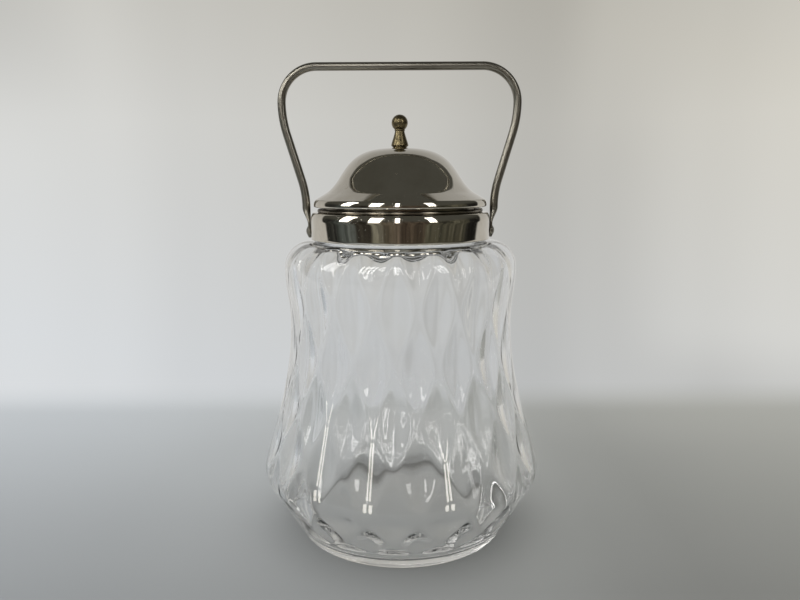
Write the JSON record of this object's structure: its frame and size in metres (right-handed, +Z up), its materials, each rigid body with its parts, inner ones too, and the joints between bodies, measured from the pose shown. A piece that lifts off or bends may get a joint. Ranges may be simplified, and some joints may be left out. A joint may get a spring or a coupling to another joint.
{
  "type": "biscuit jar",
  "caption": "Waisted diamond-optic glass jar with a plated collar, a lift-off domed lid with a small brass finial, and a wire bail that swings on two rivets.",
  "frame": {"origin": "centre of the flat foot of the glass, on the surface that the jar stands on", "axes": "+Z up along the axis of the glass, X along the bail's pivots, front towards -Y"},
  "size_m": [0.1408, 0.14, 0.2318],
  "materials": {
    "clear_glass": "clear colourless glass, blown into a diamond-optic mould, fire polished",
    "silver_plate": "polished silver plate, slightly warm, with fine pitting and wear",
    "handle_plate": "worn nickel-toned plate on drawn wire",
    "aged_brass": "turned brass, dulled with age",
    "raw_brass": "plain unpolished brass",
    "plaster": "fine plaster bedding"
  },
  "bodies": {
    "jar": {"glass_jar": "clear_glass", "neck_cement": "plaster", "collar": "silver_plate", "handle_rivets": "handle_plate", "rivet_burrs": "raw_brass"},
    "bail": {"handle": "handle_plate"},
    "lid": {"lid_shell": "silver_plate", "lid_bezel": "silver_plate", "finial": "aged_brass", "finial_washer": "raw_brass", "finial_nut": "raw_brass"}
  },
  "joints": [
    {"name": "bail_swing", "type": "hinge", "parent": "jar", "child": "bail", "pos_m": [0, 0, 0.1514], "axis": [1, 0, 0], "range_deg": [-102, 102]},
    {"name": "lid_lift", "type": "slide", "parent": "jar", "child": "lid", "axis": [0, 0, 1], "range_m": [0, 0.02]}
  ]
}
